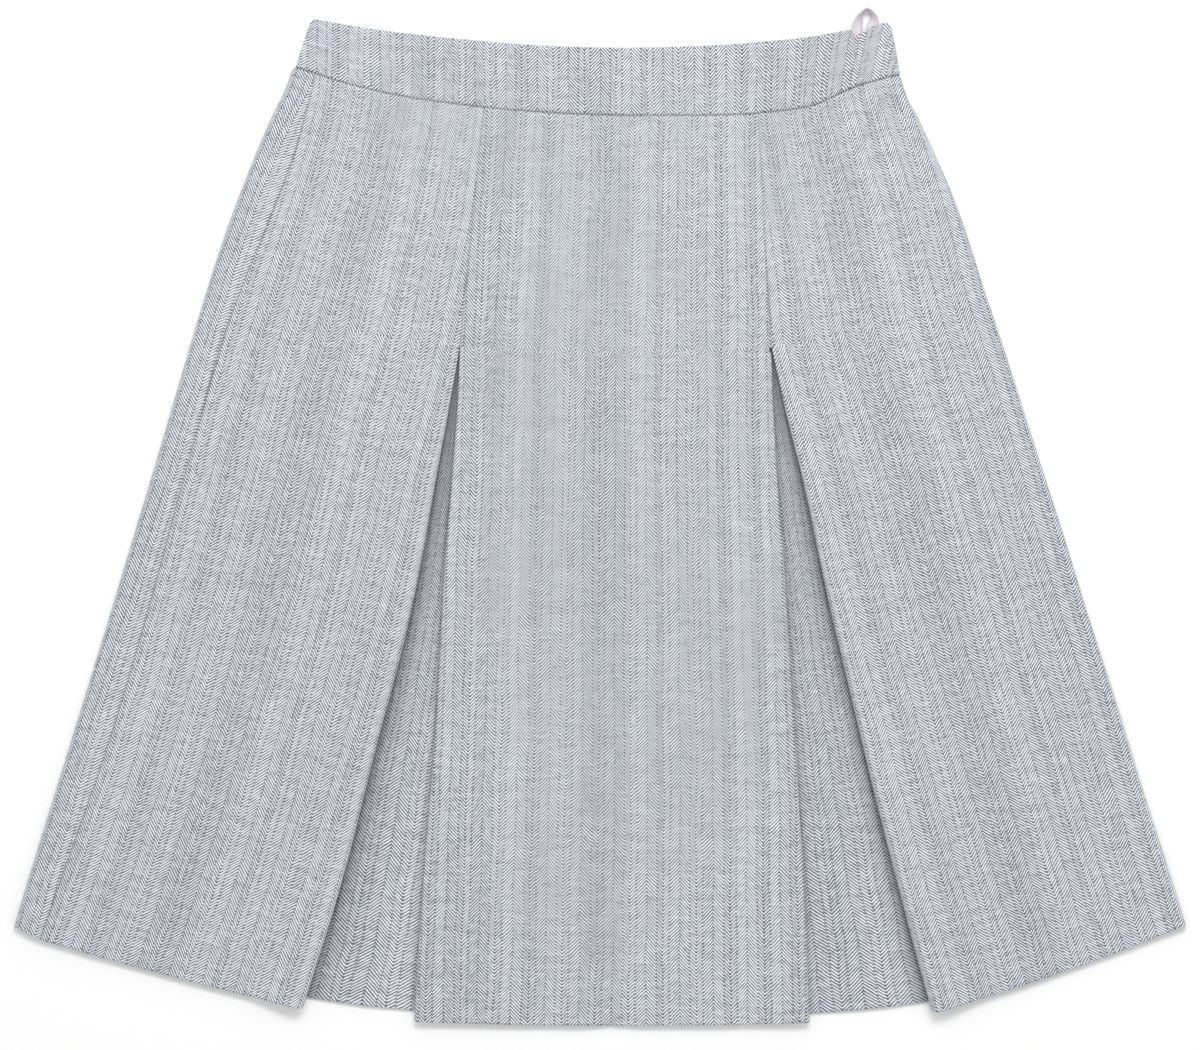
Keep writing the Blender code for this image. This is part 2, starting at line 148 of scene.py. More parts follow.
Strip = namedtuple("Strip", "y width")
STRIPS = (
    Strip(SIDE_SEAM_TOP, 14.0),
    Strip(245.0, 21.5),
    Strip(100.0, 19.0),
    Strip(-150.0, 23.5),
    Strip(-257.0, 19.0),
)

Pleat = namedtuple("Pleat", "y side_left centre_left centre_right side_right")
PLEATS = (
    Pleat(OPENING, -87.7, -87.4, 106.8, 107.1),
    Pleat(72.0, -93.5, -88.8, 107.9, 114.6),
    Pleat(23.0, -102.5, -92.5, 110.7, 126.5),
    Pleat(-30.0, -111.9, -96.8, 115.0, 137.6),
    Pleat(-94.0, -126.3, -100.4, 118.8, 152.3),
    Pleat(-142.0, -139.2, -103.3, 121.9, 163.8),
    Pleat(-222.0, -159.4, -110.0, 126.8, 183.7),
    Pleat(-307.0, -185.5, -115.4, 130.5, 206.5),
)

Waist = namedtuple("Waist", "x seam top")
WAIST = (
    Waist(-191.3, 280.6, 312.4),
    Waist(-146.0, 267.2, 304.7),
    Waist(-87.0, 257.2, 297.8),
    Waist(-29.0, 252.0, 293.4),
    Waist(41.0, 250.5, 292.8),
    Waist(108.0, 252.8, 296.7),
    Waist(135.0, 257.2, 299.8),
    Waist(156.0, 267.2, 303.4),
    Waist(187.0, 276.3, 309.6),
)

Hem = namedtuple("Hem", "x_start x_end start middle end")
STRIP_HEM = Hem(-366.2, -347.0, -256.6, -260.6, -264.0)
SIDE_LEFT_HEM = Hem(-347.0, -185.5, -264.2, -286.8, -306.4)
CENTRE_HEM = Hem(-115.4, 130.5, -315.4, -318.0, -316.0)
SIDE_RIGHT_HEM = Hem(206.5, 366.4, -308.8, -285.6, -256.6)
UNDERLAY_LEFT_HEM = Hem(-223.0, -78.0, -294.0, -305.6, -311.0)
UNDERLAY_RIGHT_HEM = Hem(92.0, 244.0, -311.5, -308.0, -297.0)
BACK_HEM = Hem(-366.2, 366.4, -256.6, -306.0, -256.6)

# Soft creases: the line that each follows, its half width and its depth. Each fades over a
# share of its length at both ends, and one that runs past the hem fades only at its upper end.
CREASE_FADE = 0.2
HEM_CREASE_FADE = 0.3
PAST_HEM = -300.0
Crease = namedtuple("Crease", "x0 y0 x1 y1 reach depth")
CREASES = (
    Crease(9.0, 30.0, 6.5, -330.0, 22.0, 1.3),
    Crease(9.3, -20.0, 6.5, -330.0, 4.0, 1.0),
    Crease(185.0, 266.0, 161.0, 208.0, 12.0, 5.4),
    Crease(163.0, 214.0, 146.0, 140.0, 13.0, 4.0),
    Crease(112.0, 240.0, 107.0, 158.0, 10.0, 0.9),
    Crease(-137.0, 241.0, -100.0, 186.0, 13.0, 1.1),
    Crease(-176.0, 246.0, -214.0, 132.0, 12.0, 0.9),
    Crease(-222.0, -27.0, -195.0, -176.0, 16.0, 1.3),
    Crease(-196.0, -168.0, -188.0, -240.0, 15.0, 0.9),
    Crease(209.0, 24.0, 206.0, -84.0, 15.0, 0.9),
    Crease(256.0, 24.0, 296.0, -88.0, 16.0, 1.1),
    Crease(-62.0, 120.0, -58.0, -40.0, 18.0, 0.5),
    Crease(70.0, 60.0, 76.0, -160.0, 20.0, 0.5),
)

# Slow unevenness of cloth that has been worn and pressed: wave lengths, angle, start, height.
Ripple = namedtuple("Ripple", "length angle start height")
RIPPLES = (
    Ripple(143.0, 12.0, 0.4, 0.16),
    Ripple(97.0, 71.0, 2.1, 0.12),
    Ripple(61.0, -18.0, 4.4, 0.08),
    Ripple(38.0, 5.0, 1.3, 0.045),
    Ripple(29.0, -64.0, 3.2, 0.03),
)

Ribbon = namedtuple("Ribbon", "number x y z turn")
RIBBON_LINE = (
    Ribbon(0, 160.2, 289.0, 2.85, 0.0),
    Ribbon(1, 160.3, 302.5, 2.85, 0.0),
    Ribbon(2, 161.3, 309.0, 3.0, 30.0),
    Ribbon(3, 163.2, 313.8, 3.4, 70.0),
    Ribbon(4, 166.8, 317.2, 3.6, 90.0),
    Ribbon(5, 170.4, 313.8, 3.4, 70.0),
    Ribbon(6, 171.3, 309.4, 3.0, 30.0),
    Ribbon(7, 170.0, 304.5, 2.85, 0.0),
    Ribbon(8, 169.7, 289.0, 2.85, 0.0),
)

# Painted shade where little light gets in: how dark, and over what distance it fades
SEAM_SHADE = 0.6
PLEAT_SEAM_SHADE = 0.12
SIDE_SEAM_SHADE = 0.25
SEAM_SHADE_REACH = 0.7
FOLD_SHADE = 0.66
SHADE_FADE = 6.0
CENTRE_SHADE = 0.4
CENTRE_SHADE_FADE = 2.5
# Colour that the painted shade darkens the cloth towards
DEEP_SHADE = (0.02, 0.02, 0.03)

# Meshes: size of a face, and the steps round a fold or a rolled edge
FACE = 3.2
BACK_FACE = 9.0
FOLD_STEPS = 10
ROLL_STEPS = 6
SEAM_STEPS = (0.5, 1.1, 1.9, 3.0)  # finer faces beside an edge
LEAN_ORDER = 3  # how freely the warp's lean follows the middle line of a panel
FAN = 0.5  # how far the warp lines spread with the panel instead of staying parallel


# Stage, in metres: the softbox, and the camera straight above
SOFTBOX_SIZE = (1.4, 0.7)
SOFTBOX_PLACE = (0.2, 1.3, 1.9)
FLOOR_SIZE = 8.0
LENS = 100.0
SENSOR = 36.0
VIEW_DROP = 5.3 * MM  # the view's middle lies this far below the middle of the box
VIEW_LEVEL = 3.0 * MM  # height at which the camera takes in its width


def ease(share):
    """0 to 1 with level ends."""
    share = np.clip(share, 0.0, 1.0)
    return share * share * (3 - 2 * share)


def mix(start, end, share):
    return start + (end - start) * share


def smooth_line(table, column, at):
    """A column's value at places along the table's first column, on a smooth line."""
    rows = sorted(table)
    keys = np.array([row[0] for row in rows], float)
    values = np.array([getattr(row, column) for row in rows], float)
    slopes = np.gradient(values, keys)
    at = np.asarray(at, float)
    i = np.clip(np.searchsorted(keys, at) - 1, 0, len(keys) - 2)
    step = keys[i + 1] - keys[i]
    t = (at - keys[i]) / step
    start = values[i] * (1 + 2 * t) * (1 - t) ** 2 + slopes[i] * step * t * (1 - t) ** 2
    return start + values[i + 1] * t * t * (3 - 2 * t) + slopes[i + 1] * step * t * t * (t - 1)


def layer(under):
    return CLOTH / 2 + under * PITCH


def left_edge(y):
    return smooth_line(SIDES, "left", y)


def right_edge(y):
    return smooth_line(SIDES, "right", y)


def side_seam(y):
    return left_edge(y) + smooth_line(STRIPS, "width", y)


def waist_seam(x):
    return smooth_line(WAIST, "seam", x)


def under_seam(x):
    return waist_seam(x) - GAP / 2


def band_top(x):
    """Upper edge of the front of the band, with the step where the loop comes out."""
    past = (x - NOTCH_X) / NOTCH_REACH
    step = ease((x - NOTCH_X) / NOTCH_RUN + 1) * (1 - ease(past))
    return smooth_line(WAIST, "top", x) - NOTCH_DEPTH * step


def hem_height(hem, x):
    s = (x - hem.x_start) / (hem.x_end - hem.x_start)
    start = hem.start * (1 - s) * (1 - 2 * s)
    return start + hem.middle * 4 * s * (1 - s) + hem.end * s * (2 * s - 1)


def pleat_edge(column, y):
    """x of a pleat's folded edge and, above the opening, of the seam beside it."""
    seam_x = LEFT_SEAM_X if column.endswith("left") else RIGHT_SEAM_X
    inward = 1 if column in ("centre_left", "side_right") else -1
    share = (np.asarray(y, float) - OPENING) / (SEAM_TOP - OPENING)
    seam = mix(getattr(PLEATS[0], column), seam_x + inward * GAP / 2, share)
    return np.where(share > 0, seam, smooth_line(PLEATS, column, np.minimum(y, OPENING)))


def return_width(y):
    span = OPENING - PLEATS[-1].y
    return mix(RETURN_TOP, RETURN_HEM, np.maximum(0.0, (OPENING - y) / span))


def lift_of_pleats(x, y):
    """1 where the folded layers of a pleat hold the front up, 0 away from them."""
    up = 1 - ease((y - UNDERLAY_TOP - 2 * EASE_MARGIN) / (2 * EASE_REACH))
    width = return_width(y) + EASE_MARGIN
    most = np.zeros_like(x)
    for low_edge, high_edge in (("side_left", "centre_left"), ("centre_right", "side_right")):
        low = pleat_edge(low_edge, y) - width
        high = pleat_edge(high_edge, y) + width
        outside = np.maximum(np.maximum(low - x, x - high), 0.0)
        most = np.maximum(most, 1 - ease(outside / EASE_REACH))
    return most * up


def crease_depth(x, y):
    """How far the soft creases lower the front here."""
    total = np.zeros_like(x)
    for fold in CREASES:
        run_x = fold.x1 - fold.x0
        run_y = fold.y1 - fold.y0
        share = ((x - fold.x0) * run_x + (y - fold.y0) * run_y) / (run_x**2 + run_y**2)
        near = np.clip(share, 0.0, 1.0)
        away = np.hypot(x - fold.x0 - near * run_x, y - fold.y0 - near * run_y)
        if fold.y1 > PAST_HEM:
            fade = ease(near / CREASE_FADE) * ease((1 - near) / CREASE_FADE)
        else:
            fade = ease(near / HEM_CREASE_FADE)
        total += fold.depth * fade * (1 - ease(away / fold.reach))
    return total


def ripples(x, y):
    """Height of the slow unevenness of the cloth, never below 0."""
    total = np.zeros_like(x)
    for wave in RIPPLES:
        angle = radians(wave.angle)
        along = x * np.cos(angle) + y * np.sin(angle)
        total += wave.height * (1 + np.sin(2 * pi * along / wave.length + wave.start))
    return total


def front_height(x, y):
    """Height of the middle of the front's cloth."""
    held = lift_of_pleats(x, y)
    lowest = mix(layer(1), layer(3), held)
    from_side = np.minimum(x - left_edge(y), right_edge(y) - x)
    side = SIDE_LOFT * (1 - ease(from_side / SIDE_REACH))
    waist = WAIST_LIFT * (1 - ease((waist_seam(x) - y) / WAIST_REACH))
    lift = LOFT * (1 - held) + side + waist + ripples(x, y) - crease_depth(x, y)
    return lowest + np.maximum(lift, 0.0)


def band_height(x):
    base = BAND + GAP + BAND / 2
    return base + LOOP_LIFT * ease((x - LOOP_FROM) / LOOP_REACH)


def stations(length, face):
    """Shares from 0 to 1 with faces about this long, and finer ones beside both ends."""
    count = max(2, round(length / face))
    inner = [i / count for i in range(1, count)]
    near = [step / length for step in SEAM_STEPS]
    inner = [s for s in inner if near[-1] < s < 1 - near[-1]]
    return np.array([0.0, *near, *inner, *(1 - s for s in reversed(near)), 1.0])


def shares(opening, length, face):
    """Rows of a panel that has one of them exactly at the pleats' opening."""
    above = stations(opening * length, face)
    below = stations((1 - opening) * length, face)
    return np.concatenate([above[:-1] * opening, opening + below * (1 - opening)])


def patch(left, right, top, bottom, u, v):
    """Points x, y inside four edges, as arrays with a row for each v and a column for each u."""
    u = u[None, :, None]
    v = v[:, None, None]
    sides = left(v[:, 0, 0])[:, None] * (1 - u) + right(v[:, 0, 0])[:, None] * u
    ends = top(u[0, :, 0])[None] * (1 - v) + bottom(u[0, :, 0])[None] * v
    upper = top(np.array([0.0, 1.0]))
    lower = bottom(np.array([0.0, 1.0]))
    corners = (upper[0] * (1 - u) + upper[1] * u) * (1 - v) + (lower[0] * (1 - u) + lower[1] * u) * v
    points = sides + ends - corners
    return points[..., 0], points[..., 1]


def side_line(x_at, y_top, y_hem):
    def points(v):
        y = mix(y_top, y_hem, v)
        return np.stack([x_at(y), y], -1)

    return points


def cross_line(y_at, x_start, x_end):
    def points(u):
        x = mix(x_start, x_end, u)
        return np.stack([x, y_at(x)], -1)

    return points


def turned(x, y, upper, lower, outward, steps, turn=pi):
    """Points round an edge, from its upper layer down, and the cloth's length to each."""
    radius = (upper - lower) / (2 if turn == pi else 1)
    angle = np.linspace(0, turn, steps + 1)[1:]
    px = x[:, None] + outward * radius[:, None] * np.sin(angle)
    py = np.repeat(y[:, None], steps, 1)
    pz = upper[:, None] - radius[:, None] * (1 - np.cos(angle))
    return np.stack([px, py, pz], -1), radius[:, None] * angle


def grain_of(x, y, u, fan=FAN):
    """Weave directions on a panel: across the warp from its middle line, and along it."""
    middle = (x[:, :1] + x[:, -1:]) / 2
    width = x[:, -1:] - x[:, :1]
    typical = np.median(width)
    across = (u[None] - 0.5) * (width * (1 - fan) + typical * fan)
    y_middle = (y[:, :1] + y[:, -1:]) / 2
    line = np.polyfit(y_middle[:, 0], middle[:, 0], LEAN_ORDER)
    slope = np.polyval(np.polyder(line), y_middle)
    tilt = np.hypot(1, slope)
    steps = np.diff(y_middle[:, 0]) * (tilt[1:, 0] + tilt[:-1, 0]) / 2
    length = y_middle[0, 0] + np.concatenate([[0], np.cumsum(steps)])[:, None]
    return np.stack([across, length + (x - middle) * slope / tilt + (y - y_middle)], -1)


def opening_share(edge):
    y_top, y_hem = edge(np.array([0.0, 1.0]))[:, 1]
    return (y_top - OPENING) / (y_top - y_hem)


def dip(distance, depth=DITCH, reach=DITCH_REACH):
    """How far the cloth sinks beside a seam or turns down at a free edge."""
    return depth * np.clip(1 - distance / reach, 0.0, 1.0) ** 2


Fold = namedtuple("Fold", "column hem outward lift")


def folded_under(fold, edge, below, lift):
    """Points and grain lengths of a pleat's rolled edge and of the cloth returned under it."""
    x, y, upper = edge[:, 0], edge[:, 1], edge[:, 2]
    lower = np.full_like(x, layer(2))
    round_it, length = turned(x, y, upper, lower, fold.outward, FOLD_STEPS)
    w = np.linspace(0, 1, 9)[1:]
    x_back = x[:, None] - fold.outward * return_width(y)[:, None] * w
    to_hem = hem_height(fold.hem, x_back) + RETURN_SHORT * w - hem_height(fold.hem, x)[:, None]
    y_back = y[:, None] + below[:, None] * to_hem
    back = np.stack([x_back, y_back, np.repeat(lower[:, None], len(w), 1)], -1)
    lengths = np.concatenate([length, length[:, -1:] + return_width(y)[:, None] * w], 1)
    points = np.concatenate([round_it, back], 1)
    points[below <= 0] = np.nan
    return points, lengths


def front_panel(edges, opening, folds=(), roll=False, seam_sides=()):
    """A front panel: its points and grain, with its pleat edges and its rolled side."""
    left, right, top, bottom = edges
    ends = left(np.array([0.0, 1.0]))[:, 1]
    length = ends[0] - ends[1]
    width = abs(bottom(np.array([1.0]))[0, 0] - bottom(np.array([0.0]))[0, 0])
    u = stations(width, FACE)
    v = shares(opening, length, FACE)
    x, y = patch(left, right, top, bottom, u, v)
    z = front_height(x, y)
    for fold in folds:
        away = np.abs(pleat_edge(fold.column, y) - x)
        grown = ease((OPENING - y) / FOLD_GROWS)
        z = z + fold.lift * grown * (1 - ease(away / FOLD_REACH))
    rows = v[:, None] * length
    z = z - dip(rows) - dip((length - rows), HEM_ROUND, HEM_REACH)
    for side in seam_sides:
        distance = np.abs(x - x[:, :1]) if side == "left" else np.abs(x[:, -1:] - x)
        z = z - dip(distance)
    for fold in folds:
        edge_x = x[:, -1:] if fold.outward > 0 else x[:, :1]
        z = z - dip(np.abs(x - edge_x)) * (v[:, None] <= opening)
    grain = grain_of(x, y, u)
    points = np.stack([x, y, z], -1)
    below = (v - opening) / (1 - opening)
    for fold in folds:
        edge = points[:, -1] if fold.outward > 0 else points[:, 0]
        edge_grain = grain[:, -1] if fold.outward > 0 else grain[:, 0]
        under, lengths = folded_under(fold, edge, below, fold.lift)
        across = edge_grain[:, :1] + fold.outward * lengths
        under_grain = np.stack([across, np.repeat(edge_grain[:, 1:], lengths.shape[1], 1)], -1)
        if fold.outward > 0:
            points = np.concatenate([points, under], 1)
            grain = np.concatenate([grain, under_grain], 1)
        else:
            points = np.concatenate([under[:, ::-1], points], 1)
            grain = np.concatenate([under_grain[:, ::-1], grain], 1)
    if roll:
        edge = points[:, -1]
        low = np.full(len(edge), CLOTH + GAP)
        down, lengths = turned(edge[:, 0], edge[:, 1], edge[:, 2], low, 1, ROLL_STEPS, pi / 2)
        across = grain[:, -1, :1] + lengths
        down_grain = np.stack([across, np.repeat(grain[:, -1, 1:], ROLL_STEPS, 1)], -1)
        points = np.concatenate([points, down], 1)
        grain = np.concatenate([grain, down_grain], 1)
    return points, grain


def inner_edge(fold, y):
    """x where a panel's flat part ends: at its seam, or where its folded edge starts to turn."""
    rise = layer(3) - layer(2) + fold.lift * ease((OPENING - y) / FOLD_GROWS)
    turned_in = fold.outward * (CLOTH + rise) / 2
    return pleat_edge(fold.column, y) - np.where(y >= OPENING, 0.0, turned_in)


FOLDS = {
    "side_left": Fold("side_left", SIDE_LEFT_HEM, 1, SIDE_FOLD_LIFT),
    "centre_left": Fold("centre_left", CENTRE_HEM, -1, CENTRE_FOLD_LIFT),
    "centre_right": Fold("centre_right", CENTRE_HEM, 1, CENTRE_FOLD_LIFT),
    "side_right": Fold("side_right", SIDE_RIGHT_HEM, -1, SIDE_FOLD_LIFT),
}


def four_edges(left, right, y_hem):
    start = left(np.array([0.0, 1.0]))[:, 0]
    end = right(np.array([0.0, 1.0]))[:, 0]
    top = cross_line(under_seam, start[0], end[0])
    bottom = cross_line(y_hem, start[1], end[1])
    return left, right, top, bottom


def side_panel_left():
    fold = FOLDS["side_left"]
    y_seam = under_seam(side_seam(SIDE_SEAM_TOP))
    left = side_line(lambda y: side_seam(y) + GAP / 2, y_seam, SIDE_LEFT_HEM.start)
    y_top = under_seam(pleat_edge("side_left", SEAM_TOP))
    right = side_line(lambda y: inner_edge(fold, y), y_top, SIDE_LEFT_HEM.end)
    edges = four_edges(left, right, lambda x: hem_height(SIDE_LEFT_HEM, x))
    return front_panel(edges, opening_share(right), (fold,), seam_sides=("left",))


def centre_panel():
    folds = (FOLDS["centre_left"], FOLDS["centre_right"])
    y_left = under_seam(pleat_edge("centre_left", SEAM_TOP))
    y_right = under_seam(pleat_edge("centre_right", SEAM_TOP))
    left = side_line(lambda y: inner_edge(folds[0], y), y_left, CENTRE_HEM.start)
    right = side_line(lambda y: inner_edge(folds[1], y), y_right, CENTRE_HEM.end)
    edges = four_edges(left, right, lambda x: hem_height(CENTRE_HEM, x))
    return front_panel(edges, opening_share(left), folds)


def side_panel_right():
    fold = FOLDS["side_right"]
    room = CLOTH / 2 + layer(1) + LOFT + SIDE_LOFT - CLOTH - GAP
    y_top = under_seam(pleat_edge("side_right", SEAM_TOP))
    left = side_line(lambda y: inner_edge(fold, y), y_top, SIDE_RIGHT_HEM.start)
    y_end = under_seam(WAIST[-1].x - room)
    right = side_line(lambda y: right_edge(y) - room, y_end, SIDE_RIGHT_HEM.end)
    edges = four_edges(left, right, lambda x: hem_height(SIDE_RIGHT_HEM, x))
    return front_panel(edges, opening_share(left), (fold,), roll=True)


def underlay(low_edge, high_edge, hem):
    """Piece behind a pleat: level under the returns, with a soft rise where it shows."""
    left = side_line(lambda y: pleat_edge(low_edge, y) - return_width(y), UNDERLAY_TOP, hem.start)
    right = side_line(lambda y: pleat_edge(high_edge, y) + return_width(y), UNDERLAY_TOP, hem.end)
    start = left(np.array([0.0, 1.0]))[:, 0]
    end = right(np.array([0.0, 1.0]))[:, 0]
    top = cross_line(lambda x: np.full_like(x, UNDERLAY_TOP), start[0], end[0])
    bottom = cross_line(lambda x: hem_height(hem, x), start[1], end[1])
    length = UNDERLAY_TOP - hem.middle
    u = stations(end[1] - start[1], FACE)
    v = stations(length, FACE)
    x, y = patch(left, right, top, bottom, u, v)
    low = pleat_edge(low_edge, y)
    high = pleat_edge(high_edge, y)
    middle = np.clip((x - low) / np.maximum(high - low, 1.0), 0.0, 1.0)
    shown = np.sin(pi * middle) ** 2 * np.clip((high - low) / UNDERLAY_OPEN, 0.0, 1.0)
    z = layer(1) + UNDERLAY_RISE * shown + 0.5 * shown * (ripples(x, y) - 0.4)
    z = z - dip((1 - v[:, None]) * length, HEM_ROUND, HEM_REACH)
    return np.stack([x, y, z], -1), grain_of(x, y, u, fan=0.85)


def back_panel():
    """The lower layer, flat on the surface, and the strip that rolls over the left edge."""
    radius = (layer(1) + LOFT + SIDE_LOFT - layer(0)) / 2
    fold_in = CLOTH / 2 + radius
    y_left = under_seam(WAIST[0].x + fold_in)
    y_seam = under_seam(side_seam(SIDE_SEAM_TOP))
    y_right = under_seam(WAIST[-1].x - CLOTH / 2)
    seam = side_line(lambda y: side_seam(y) - GAP / 2, y_seam, STRIP_HEM.end)
    turn = side_line(lambda y: left_edge(y) + fold_in, y_left, STRIP_HEM.start)
    far = side_line(lambda y: right_edge(y) - CLOTH / 2, y_right, BACK_HEM.end)
    strip = four_edges(turn, seam, lambda x: hem_height(STRIP_HEM, x))
    lower = four_edges(turn, far, lambda x: hem_height(BACK_HEM, x))
    v = shares(BACK_OPENING, BACK_LENGTH, FACE)
    rows = v[:, None] * BACK_LENGTH
    u_strip = np.concatenate([np.linspace(0, 0.86, 7), [0.93, 0.97, 1.0]])
    x, y = patch(*strip, u_strip, v)
    z = front_height(x, y) - dip(np.abs(x[:, -1:] - x)) - dip(rows)
    z = z - dip(BACK_LENGTH - rows, HEM_ROUND, HEM_REACH)
    strip_points = np.stack([x, y, z], -1)
    from_fold = x - x[:, :1]
    slope = np.polyval(np.polyder(np.polyfit(y[:, 0], x[:, 0], LEAN_ORDER)), y[:, :1])
    tilt = np.hypot(1, slope)
    strip_grain = np.stack([from_fold / tilt, y * tilt + from_fold * slope / tilt], -1)
    edge = strip_points[:, 0]
    flat = np.full(len(edge), layer(0))
    bent, lengths = turned(edge[:, 0], edge[:, 1], edge[:, 2], flat, -1, FOLD_STEPS)
    bent_grain = np.stack([-lengths, np.repeat(strip_grain[:, :1, 1], FOLD_STEPS, 1)], -1)
    u_lower = stations(BACK_WIDTH, BACK_FACE)
    x, y = patch(*lower, u_lower, v)
    low_points = np.stack([x, y, np.full_like(x, layer(0))], -1)
    low_grain = grain_of(x, y, u_lower, fan=0.7)
    low_grain = low_grain - low_grain[:, :1] + bent_grain[:, -1:]
    low_grain[..., 0] = 2 * bent_grain[:, -1:, 0] - low_grain[..., 0]
    points = [strip_points[:, ::-1], bent, low_points[:, 1:]]
    grain = [strip_grain[:, ::-1], bent_grain, low_grain[:, 1:]]
    return np.concatenate(points, 1), np.concatenate(grain, 1)


def band_grid(x_ends, drop, face):
    low = WAIST[0].x + x_ends, WAIST[-1].x - x_ends
    high = BAND_LEFT_X + x_ends, BAND_RIGHT_X - x_ends
    u = stations(low[1] - low[0], face)
    v = stations(BAND_HEIGHT, face)
    x_high = mix(high[0], high[1], u)
    x_low = mix(low[0], low[1], u)
    y_high = band_top(x_high) - drop
    y_low = waist_seam(x_low) + GAP / 2
    x = mix(x_high[None], x_low[None], v[:, None])
    y = mix(y_high[None], y_low[None], v[:, None])
    return u, v, x, y


def band_front():
    """Upper half of the band, with a soft upper edge and ends that roll down to the lower half."""
    u, v, x, y = band_grid(BAND + LOOP_LIFT / 2, 0.0, 2.6)
    z = band_height(x) + 0.4 * ripples(x, y)
    down = v[:, None] * BAND_HEIGHT
    z = z - dip(BAND_HEIGHT - down) - dip(down, HEM_ROUND + 0.1, DITCH_REACH)
    lean = BAND_LEAN * ease((x - BAND_LEAN_FROM) / BAND_LEAN_FROM)
    across = x - lean * (y - y[:1])
    along = BAND_HEIGHT - down + 0.2 * ripples(x, y)
    points = np.stack([x, y, z], -1)
    grain = np.stack([across, np.broadcast_to(along, x.shape)], -1)
    low = np.full(len(x), BAND + 2 * GAP)
    for end, outward in ((0, -1), (-1, 1)):
        edge = points[:, end]
        down, lengths = turned(edge[:, 0], edge[:, 1], edge[:, 2], low, outward, ROLL_STEPS, pi / 2)
        across = grain[:, end, :1] + outward * lengths
        down_grain = np.stack([across, np.repeat(grain[:, end, 1:], ROLL_STEPS, 1)], -1)
        if outward < 0:
            points = np.concatenate([down[:, ::-1], points], 1)
            grain = np.concatenate([down_grain[:, ::-1], grain], 1)
        else:
            points = np.concatenate([points, down], 1)
            grain = np.concatenate([grain, down_grain], 1)
    x = points[..., 0]
    from_end = np.minimum(x - x.min(1, keepdims=True), x.max(1, keepdims=True) - x)
    inside = np.clip(CORNER_RADIUS - from_end, 0.0, CORNER_RADIUS)
    cut = CORNER_RADIUS - np.sqrt(np.maximum(CORNER_RADIUS**2 - inside**2, 0.0))
    points[..., 1] -= cut * (1 - v[:, None]) ** 6
    return points, grain


def band_back():
    u, v, x, y = band_grid(BAND / 2, BACK_BAND_DROP, 5.0)
    along = np.broadcast_to((1 - v[:, None]) * BAND_HEIGHT, x.shape)
    return np.stack([x, y, np.full_like(x, BAND / 2)], -1), np.stack([-x, along], -1)


def loop_sections():
    """Sections of the hanger ribbon along its line, each a little cupped."""
    s = np.linspace(0, len(RIBBON_LINE) - 1, RIBBON_SECTIONS)
    x, y, z, turn = (smooth_line(RIBBON_LINE, c, s) for c in ("x", "y", "z", "turn"))
    along = np.stack([np.gradient(x), np.gradient(y)], -1)
    along /= np.linalg.norm(along, axis=1, keepdims=True)
    outward = np.stack([-along[:, 1], along[:, 0]], -1)
    side = np.linspace(-0.5, 0.5, RIBBON_COLUMNS) * RIBBON_WIDTH
    flat = np.cos(np.radians(turn))[:, None] * side
    rise = np.sin(np.radians(turn))[:, None] * side
    cup = RIBBON_CUP * (1 - (2 * side / RIBBON_WIDTH) ** 2) * np.cos(np.radians(turn))[:, None]
    points = np.stack([
        x[:, None] + outward[:, :1] * flat,
        y[:, None] + outward[:, 1:] * flat,
        z[:, None] + rise + cup,
    ], -1)
    length = np.concatenate([[0], np.cumsum(np.hypot(np.diff(x), np.diff(y)))])
    length = np.repeat(length[:, None], RIBBON_COLUMNS, 1)
    grain = np.stack([np.broadcast_to(side, rise.shape), length], -1)
    return points, grain


def flat_size(points):
    """Width, length and area in metres of the cloth that a grid of points lays out flat."""
    across = np.linalg.norm(np.diff(points, axis=1), axis=-1)
    down = np.linalg.norm(np.diff(points, axis=0), axis=-1)
    width = np.nansum(across, axis=1).max()
    length = np.nansum(down, axis=0).max()
    first = points[1:, 1:] - points[:-1, :-1]
    second = points[1:, :-1] - points[:-1, 1:]
    area = np.nansum(np.linalg.norm(np.cross(first, second), axis=-1)) / 2
    return width * MM, length * MM, min(area * MM * MM, width * length * MM * MM)


def painted_shade_at(x, y, underlay=None):
    """Painted shade where little light gets in: along the sewn seams and, on an underlay, beside the
    folds.
    """
    panel = y < waist_seam(x)
    sewn = panel & (y > OPENING)
    seams = (
        (np.abs(y - waist_seam(x)), SEAM_SHADE),
        (np.abs(x - pleat_edge("centre_left", y)), sewn * PLEAT_SEAM_SHADE),
        (np.abs(x - pleat_edge("centre_right", y)), sewn * PLEAT_SEAM_SHADE),
        (np.abs(x - side_seam(y)), panel * SIDE_SEAM_SHADE),
    )
    light = np.ones_like(x)
    for distance, dark in seams:
        light = light * (1 - dark * np.exp(-((distance / SEAM_SHADE_REACH) ** 2)))
    if underlay:
        side_fold, centre_fold = underlay
        from_side = np.abs(x - pleat_edge(side_fold, y))
        from_centre = np.abs(x - pleat_edge(centre_fold, y))
        light = light * (1 - FOLD_SHADE * np.exp(-from_side / SHADE_FADE))
        light = light * (1 - CENTRE_SHADE * np.exp(-from_centre / CENTRE_SHADE_FADE))
    return 1 - light


